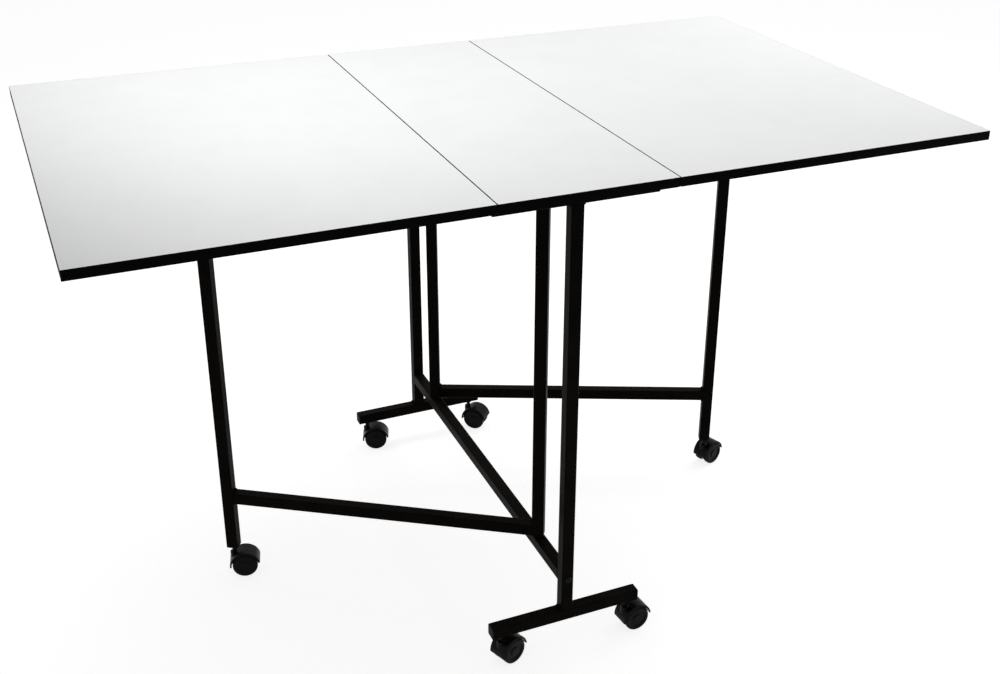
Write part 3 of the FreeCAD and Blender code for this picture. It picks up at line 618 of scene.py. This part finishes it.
def gate_in_plan(gate):
    """A gate's pivot and leg in plan, and the direction from the one to the other."""
    pivot = JOINT_AT[f"{gate}_swing"] * IN_PLAN
    leg = JOINT_AT[f"{gate}_caster_swivel"] * IN_PLAN
    out = (leg - pivot) / np.linalg.norm(leg - pivot)
    return pivot, leg, out


def cross_recess(x, y, head):
    """Depth, from 0 to 1, of a cross: full where a point is near one axis and not far along the other."""
    arm_side = 0.13 * head
    arm_end = 0.34 * head
    side_slope = 0.05 * head
    end_slope = 0.07 * head
    near = np.minimum(np.abs(x), np.abs(y))
    far = np.maximum(np.abs(x), np.abs(y))
    return smooth_step((arm_side - near) / side_slope) * smooth_step((arm_end - far) / end_slope)


def hexagon_recess(x, y, head):
    """Depth, from 0 to 1, of a hexagon: full where the largest of three slanted distances is small."""
    flat = 0.21 * head
    slope = 0.03 * head
    turn = np.arange(3) * np.pi / 3
    slant = np.abs(x[..., None] * np.cos(turn) + y[..., None] * np.sin(turn)).max(axis=-1)
    return smooth_step((flat - slant) / slope)


def fastener(surfaces, seat, axes, shank, length, head, height, recess):
    """A turned screw or bolt, head outwards: a pointed shank, and a head whose top is part of an ellipse,
    with the recess's depth taken off it.
    """
    rows = 22
    steps = 48
    rim = 0.35
    recess_start = 0.2 * height
    recess_depth = 0.62 * height
    share = np.cos(np.linspace(0, QUARTER_TURN, rows))
    top = head / 2 * share
    dome = height * (rim + (1 - rim) * np.sqrt(1 - share ** 2))
    radius = np.concatenate([[TIP_RADIUS, shank / 2, shank / 2, head / 2], top[:-1], [TIP_RADIUS]])
    level = np.concatenate([[-length, -length + shank, 0, 0], dome])

    def lift(x, y, z):
        """Minus the recess's depth on the head, and 0 below it."""
        return np.where(z > recess_start, -recess_depth * recess(x, y, head), 0)

    surfaces.turned(radius, level, steps, seat, axes, lift)


class CUTTINGTABLE_OT_top(bpy.types.Operator):
    """Face the boards, and run a strip with rounded edges round each of them"""

    bl_idname = "cuttingtable.top"
    bl_label = "Table top"
    bl_options = {"REGISTER", "UNDO"}

    def execute(self, context):
        finishes = context.scene.table_finishes
        finish_nodes(board_face(finishes.board), BOARDS)
        material = edge_strip(finishes.strip)
        for band in EDGE_BANDS:
            self.strip(band, context.scene.table_details, material)
        return {"FINISHED"}

    def strip(self, band, details, material):
        """A strip's section, a thin rectangle with round corners, carried round the board's outline: each
        point of the outline, moved along the outline's outward normal and up.
        """
        corner_steps = 6
        edge_steps = 4
        low, high = corners_of(band)
        middle = (low + high) / 2
        width, depth, height = high - low
        outline, outward = rounded_outline(width, depth, details.strip_corner, corner_steps)
        section, _ = rounded_outline(height, details.strip_thickness, details.strip_round, edge_steps)
        out = section[:, 1] - details.strip_thickness / 2
        plan = middle[:2] + outline[:, None, :] + out[None, :, None] * outward[:, None, :]
        level = np.broadcast_to(middle[2] + section[:, 0], plan.shape[:2])
        surfaces = Surfaces()
        surfaces.hoop(np.concatenate([plan, level[..., None]], axis=-1))
        surfaces.piece(f"{band}_strip", BODY_OF[band], SLOT_OF[band], material, band)


class CUTTINGTABLE_OT_tubes(bpy.types.Operator):
    """Coat the tubes, and lay weld beads where they are joined"""

    bl_idname = "cuttingtable.tubes"
    bl_label = "Tubes and welds"
    bl_options = {"REGISTER", "UNDO"}

    def execute(self, context):
        finishes = context.scene.table_finishes
        details = context.scene.table_details
        coat = powder_coat(finishes.coat, finishes.dust)
        finish_nodes(coat, nodes_in("frame_paint"))
        self.frame_welds(details, coat)
        for gate in GATES:
            self.gate_welds(gate, details, coat)
        return {"FINISHED"}

    def frame_welds(self, details, coat):
        """Beads on both sides of each post, where it meets its foot and its top bar."""
        half = details.tube_side / 2
        welds = Surfaces()
        for end in ("front", "back"):
            foot_low, foot_high = corners_of(f"{end}_foot")
            bar_low, _ = corners_of(f"{end}_top_bar")
            y = (foot_low[1] + foot_high[1]) / 2
            for side in (-1, 1):
                self.bead(welds, details, (side * half, y, foot_high[2]), side * X, Z)
                self.bead(welds, details, (side * half, y, bar_low[2]), side * X, -Z)
        welds.piece("frame_welds", "frame", "frame_paint", coat)

    def gate_welds(self, gate, details, coat):
        """Beads above and below each rail where it meets a post, apart from where both end flush."""
        half = details.tube_side / 2
        pivot, leg, out = gate_in_plan(gate)
        lower_low, lower_high = corners_of(f"{gate}_lower_rail")
        upper_low, upper_high = corners_of(f"{gate}_upper_rail")
        at_post = pivot + half * out
        at_leg = leg - half * out
        welds = Surfaces()
        self.bead(welds, details, at_post + lower_high[2] * Z, out, Z)
        self.bead(welds, details, at_post + upper_low[2] * Z, out, -Z)
        for level, way in ((lower_high[2], Z), (lower_low[2], -Z), (upper_high[2], Z), (upper_low[2], -Z)):
            self.bead(welds, details, at_leg + level * Z, -out, way)
        welds.piece(f"{gate}_welds", gate, "frame_paint", coat)

    def bead(self, surfaces, details, corner, first, second):
        """A fillet weld in the corner between two faces: a bulged chord from one face to the other, carried
        along the corner, swelling in curved ripples and running out at both ends.
        """
        rows = 73
        columns = 9
        bulge = 0.28
        ripple = 0.07
        ripple_bend = 0.6
        least = 0.02
        leg = details.weld_leg
        sunk = 0.12 * leg
        half = details.tube_side / 2 - details.tube_corner / 2
        along = np.cross(first, second)
        distance = np.linspace(-half, half, rows)
        across = np.linspace(0, 1, columns)
        at_end = (np.abs(distance) - (half - leg)).clip(0) / leg
        run_out = np.sqrt(np.clip(1 - at_end ** 2, least, 1))
        lag = ripple_bend * (2 * across - 1) ** 2
        wave = np.cos(FULL_TURN * (distance[:, None] / details.weld_pitch - lag[None, :]))
        reach = leg * run_out[:, None] * (1 + ripple * wave)
        swell = bulge * np.sin(np.pi * across)
        on_first = reach * (1 - across + swell)
        on_second = reach * (across + swell)
        edge = np.full((rows, 1), -sunk)
        on_first = np.concatenate([on_first[:, :1], on_first, edge, edge], axis=1)
        on_second = np.concatenate([edge, on_second, on_second[:, -1:], edge], axis=1)
        on_corner = np.broadcast_to(distance[:, None], on_first.shape)
        local = np.stack([on_first, on_second, on_corner], axis=-1)
        surfaces.loft(placed(local, corner, (first, second, along)))


class CUTTINGTABLE_OT_hinges(bpy.types.Operator):
    """Plate the hinges and pins, and drive in round-headed screws with cross recesses"""

    bl_idname = "cuttingtable.hinges"
    bl_label = "Hinges and screws"
    bl_options = {"REGISTER", "UNDO"}

    def execute(self, context):
        details = context.scene.table_details
        zinc = zinc_plate(context.scene.table_finishes.zinc)
        finish_nodes(zinc, nodes_in("zinc_steel"))
        reach = 1.2 * details.screw_head
        for node in SCREWS:
            surfaces = Surfaces()
            for low, high in solids_of(node, reach):
                seat = (*(low + high)[:2] / 2, low[2] + details.screw_head_height)
                fastener(surfaces, seat, HEAD_DOWN, details.screw_shank, high[2] - seat[2],
                         details.screw_head, details.screw_head_height, cross_recess)
            surfaces.piece(f"{node}_crossed", BODY_OF[node], SLOT_OF[node], zinc, node)
        return {"FINISHED"}


class CUTTINGTABLE_OT_bolts(bpy.types.Operator):
    """Blacken the stems, and put socket bolts and nut blocks at the rails' ends"""

    bl_idname = "cuttingtable.bolts"
    bl_label = "Bolts and stems"
    bl_options = {"REGISTER", "UNDO"}

    def execute(self, context):
        details = context.scene.table_details
        plated = black_plate(context.scene.table_finishes.plated)
        finish_nodes(plated, nodes_in("black_steel"))
        node = "rail_bolts_and_nuts"
        surfaces = Surfaces()
        for rail in ("lower_rail", "upper_rail"):
            low, high = corners_of(rail)
            height = (low[2] + high[2]) / 2
            for side, end in ((-1, low[1]), (1, high[1])):
                self.bolt(surfaces, details, side, end, height)
        surfaces.piece("rail_bolts_socketed", BODY_OF[node], SLOT_OF[node], plated, node)
        return {"FINISHED"}

    def bolt(self, surfaces, details, side, end, height):
        """A bolt through the tube beside a rail's end, and its nut block: a rounded square carried into the
        rail's bore.
        """
        corner_steps = 3
        axes = upright(side * Y)
        face = (0, end + side * details.tube_side, height)
        fastener(surfaces, face, axes, details.bolt_shank, details.tube_side + details.nut_length,
                 details.bolt_head, details.bolt_head_height, hexagon_recess)
        bore = details.tube_side - 2 * details.tube_wall
        section, _ = rounded_outline(bore, bore, details.tube_wall, corner_steps)
        block = np.stack([raised(section, -details.nut_length), raised(section, 0)])
        surfaces.loft(placed(block, (0, end, height), axes))


class CUTTINGTABLE_OT_plugs(bpy.types.Operator):
    """Finish the bushes and sockets, and close the tubes with crowned plugs"""

    bl_idname = "cuttingtable.plugs"
    bl_label = "Plugs and bushes"
    bl_options = {"REGISTER", "UNDO"}

    def execute(self, context):
        finishes = context.scene.table_finishes
        details = context.scene.table_details
        nylon = moulded_nylon(finishes.nylon, finishes.dust)
        finish_nodes(nylon, nodes_in("black_nylon"))
        self.end_plugs(details, nylon)
        for gate in GATES:
            self.leg_plug(gate, details, nylon)
        return {"FINISHED"}

    def end_plugs(self, details, nylon):
        """A plug in each end of the feet and of the top bars."""
        node = "tube_end_caps"
        surfaces = Surfaces()
        for low, high in solids_of(node, 2 * details.tube_side):
            side = np.sign(low[0])
            flange = high[0] - low[0] - details.end_plug
            middle = (low + high) / 2
            face = np.array([max(abs(low[0]), abs(high[0])) * side, middle[1], middle[2]])
            seat = face - flange * side * X
            self.plug(surfaces, details, seat, upright(side * X), details.end_plug, flange)
        surfaces.piece("tube_end_plugs", BODY_OF[node], SLOT_OF[node], nylon, node)

    def leg_plug(self, gate, details, nylon):
        """A plug in the top of a gate's leg, square with its gate."""
        node = f"{gate}_leg_cap"
        low, high = corners_of(node)
        _, leg, out = gate_in_plan(gate)
        seat = leg + (low[2] + details.leg_plug) * Z
        axes = (out, np.cross(Z, out), Z)
        surfaces = Surfaces()
        self.plug(surfaces, details, seat, axes, details.leg_plug, high[2] - seat[2])
        surfaces.piece(f"{gate}_leg_plug", BODY_OF[node], SLOT_OF[node], nylon, node)

    def plug(self, surfaces, details, seat, axes, length, flange):
        """Rounded squares stacked along the tube's axis: the plug, then the flange, whose outer edge follows
        a quarter circle and whose face rises to its middle as a parabola.
        """
        steps = 6
        corner_steps = 5
        face_end = 0.92
        rounding = details.plug_round
        crown = details.plug_crown
        half = details.tube_side / 2
        inner = details.tube_side - 2 * details.tube_wall - details.plug_play
        edge = flange - crown
        turn = np.linspace(0, QUARTER_TURN, steps)
        face = np.linspace(0, face_end, steps)[1:]
        edge_inset = rounding * (1 - np.cos(turn))
        face_inset = rounding + (half - rounding) * face
        edge_level = edge - rounding + rounding * np.sin(turn)
        face_level = edge + crown * (1 - (1 - face) ** 2)
        side = np.concatenate([[inner, inner, 2 * half], 2 * (half - edge_inset), 2 * (half - face_inset)])
        level = np.concatenate([[-length, 0, 0], edge_level, face_level])
        rings = []
        for width, height in zip(side, level):
            corner = details.tube_corner * width / details.tube_side
            outline, _ = rounded_outline(width, width, corner, corner_steps)
            rings.append(raised(outline, height))
        surfaces.loft(placed(np.array(rings), seat, axes))


class CUTTINGTABLE_OT_casters(bpy.types.Operator):
    """Finish the caster hoods, and turn a pair of wheels for each caster"""

    bl_idname = "cuttingtable.casters"
    bl_label = "Casters"
    bl_options = {"REGISTER", "UNDO"}

    def execute(self, context):
        finishes = context.scene.table_finishes
        shell = caster_shell(finishes.hood, finishes.dust)
        finish_nodes(shell, [f"{caster}_caster_hood" for caster in CASTERS])
        tread = caster_wheel(finishes.tread, finishes.dust)
        for caster in CASTERS:
            node = f"{caster}_caster_wheels"
            middle = JOINT_AT[f"{caster}_wheel_roll"]
            axle = JOINT_AXIS[f"{caster}_wheel_roll"]
            surfaces = Surfaces()
            for way in (axle, -axle):
                self.wheel(surfaces, context.scene.table_details, middle, way)
            surfaces.piece(f"{caster}_wheels", BODY_OF[node], SLOT_OF[node], tread, node)
        return {"FINISHED"}

    def wheel(self, surfaces, details, middle, way):
        """A wheel turned from its section: bore, inner face, round shoulders, a tread that swells by a
        parabola to its full radius, a hollow in the outer side, and a low hub. It is worn on its tread and,
        less, on its shoulders.
        """
        steps = 96
        shoulder_rows = 7
        tread_rows = 9
        shoulder_wear = 0.8
        full = middle[2]
        width = details.wheel_width
        round_by = details.wheel_round
        crown = details.wheel_crown
        dish = details.wheel_dish
        deep = details.wheel_dish_depth
        hub = details.wheel_hub
        bore = details.wheel_bore
        bore_end = 0.75 * width
        soft = 0.15 * deep
        bottom = width - deep
        turn = np.linspace(0, QUARTER_TURN, shoulder_rows)
        across = np.linspace(-1, 1, tread_rows)[1:-1]
        bore_radius = [TIP_RADIUS, bore, bore]
        bore_height = [bore_end, bore_end, 0]
        inner_radius = full - crown - round_by + round_by * np.sin(turn)
        inner_height = round_by - round_by * np.cos(turn)
        tread_radius = full - crown * across ** 2
        tread_height = width / 2 + across * (width / 2 - round_by)
        outer_radius = full - crown - round_by + round_by * np.cos(turn)
        outer_height = width - round_by + round_by * np.sin(turn)
        dish_radius = [dish + soft, dish, dish - deep, dish - deep - soft]
        dish_height = [width, width - soft, bottom + soft, bottom]
        hub_radius = [hub + deep + soft, hub + deep, hub, hub - soft, TIP_RADIUS]
        hub_height = [bottom, bottom + soft, width - soft, width, width]
        radius = np.concatenate(
            [bore_radius, inner_radius, tread_radius, outer_radius, dish_radius, hub_radius])
        height = np.concatenate(
            [bore_height, inner_height, tread_height, outer_height, dish_height, hub_height])
        wear = np.concatenate([
            np.zeros_like(bore_radius),
            shoulder_wear * smooth_step(np.sin(turn)),
            np.ones_like(across),
            shoulder_wear * smooth_step(np.cos(turn)),
            np.zeros_like(dish_radius),
            np.zeros_like(hub_radius),
        ])
        start = middle + details.wheel_start * way
        surfaces.turned(radius, height, steps, start, upright(way), wear=wear)


class CUTTINGTABLE_OT_stage(bpy.types.Operator):
    """Lay the floor, light it, and set the camera"""

    bl_idname = "cuttingtable.stage"
    bl_label = "Stage"
    bl_options = {"REGISTER", "UNDO"}

    def execute(self, context):
        stage = context.scene.table_stage
        self.floor(stage)
        self.ambient(stage)
        self.lamp("left_lamp", stage.left_power, stage.left_size, stage.left_place, stage.left_aim)
        self.lamp("right_lamp", stage.right_power, stage.right_size, stage.right_place, stage.right_aim)
        self.camera(stage)
        context.scene.view_settings.view_transform = "Standard"
        return {"FINISHED"}

    def floor(self, stage):
        """A flat square grid under the table: even steps in X and in Y, at one height."""
        lines = 5
        line = np.linspace(-stage.floor_reach, stage.floor_reach, lines)
        x, y = np.meshgrid(line, line)
        points = np.stack([x, y, np.full_like(x, -stage.floor_drop)], axis=-1).reshape(-1, 3)
        corner = np.arange(lines - 1)
        start = (corner[:, None] * lines + corner[None, :]).reshape(-1)
        faces = np.stack([start, start + 1, start + lines + 1, start + lines], axis=-1)
        mesh = bpy.data.meshes.new("studio_floor")
        mesh.from_pydata(points, [], faces.tolist())
        mesh.materials.append(studio_floor(stage.floor, stage.floor_glow))
        floor = bpy.data.objects.new("studio_floor", mesh)
        bpy.context.scene.collection.objects.link(floor)

    def ambient(self, stage):
        """An even white world that lights at the ambient strength and is seen as plain white."""
        world = bpy.data.worlds.new("studio_light")
        world.use_nodes = True
        background = world.node_tree.nodes["Background"]
        background.inputs["Color"].default_value = (1.0, 1.0, 1.0, 1.0)
        strength = world.node_tree.nodes.new("ShaderNodeMapRange")
        strength.inputs["To Min"].default_value = stage.ambient
        strength.inputs["To Max"].default_value = 1.0
        world.node_tree.links.new(studio_rays(world.node_tree), strength.inputs["Value"])
        world.node_tree.links.new(strength.outputs["Result"], background.inputs["Strength"])
        bpy.context.scene.world = world

    def lamp(self, name, power, size, place, aim):
        """A square soft lamp that looks at a point."""
        made = bpy.data.lights.new(name, "AREA")
        made.energy = power
        made.size = size
        lamp = bpy.data.objects.new(name, made)
        lamp.location = place
        lamp.rotation_euler = (Vector(aim) - Vector(place)).to_track_quat("-Z", "Y").to_euler()
        bpy.context.scene.collection.objects.link(lamp)

    def camera(self, stage):
        """A camera at its place, turned about the vertical, tilted and then rolled."""
        made = bpy.data.cameras.new("photo_camera")
        made.lens = stage.camera_lens
        made.shift_x, made.shift_y = stage.camera_shift
        made.clip_start = 0.05
        made.clip_end = 200.0
        camera = bpy.data.objects.new("photo_camera", made)
        turn = Matrix.Rotation(stage.camera_turn, 4, "Z")
        tilt = Matrix.Rotation(stage.camera_tilt, 4, "X")
        roll = Matrix.Rotation(stage.camera_roll, 4, "Z")
        camera.matrix_world = Matrix.Translation(stage.camera_place) @ turn @ tilt @ roll
        bpy.context.scene.collection.objects.link(camera)
        bpy.context.scene.camera = camera


class CUTTINGTABLE_PT_panel(bpy.types.Panel):
    """Lists the table's operators and settings"""

    bl_label = "Cutting table"
    bl_idname = "CUTTINGTABLE_PT_panel"
    bl_space_type = "VIEW_3D"
    bl_region_type = "UI"
    bl_category = "Cutting Table"

    def draw(self, context):
        for operator in OPERATORS:
            self.layout.operator(operator.bl_idname)
        for group in SETTINGS:
            settings = getattr(context.scene, group)
            box = self.layout.box()
            for name in settings.__annotations__:
                box.prop(settings, name)


SETTINGS = {
    "table_finishes": TableFinishes,
    "table_details": TableDetails,
    "table_stage": TableStage,
}
OPERATORS = (
    CUTTINGTABLE_OT_top,
    CUTTINGTABLE_OT_tubes,
    CUTTINGTABLE_OT_hinges,
    CUTTINGTABLE_OT_bolts,
    CUTTINGTABLE_OT_plugs,
    CUTTINGTABLE_OT_casters,
    CUTTINGTABLE_OT_stage,
)


def register():
    for kind in (*SETTINGS.values(), *OPERATORS, CUTTINGTABLE_PT_panel):
        bpy.utils.register_class(kind)
    for name, kind in SETTINGS.items():
        setattr(bpy.types.Scene, name, PointerProperty(type=kind))


def unregister():
    for name in SETTINGS:
        delattr(bpy.types.Scene, name)
    for kind in (CUTTINGTABLE_PT_panel, *reversed(OPERATORS), *reversed(SETTINGS.values())):
        bpy.utils.unregister_class(kind)


def main():
    register()
    for operator in OPERATORS:
        group, name = operator.bl_idname.split(".")
        getattr(getattr(bpy.ops, group), name)()


if __name__ == "__main__":
    main()
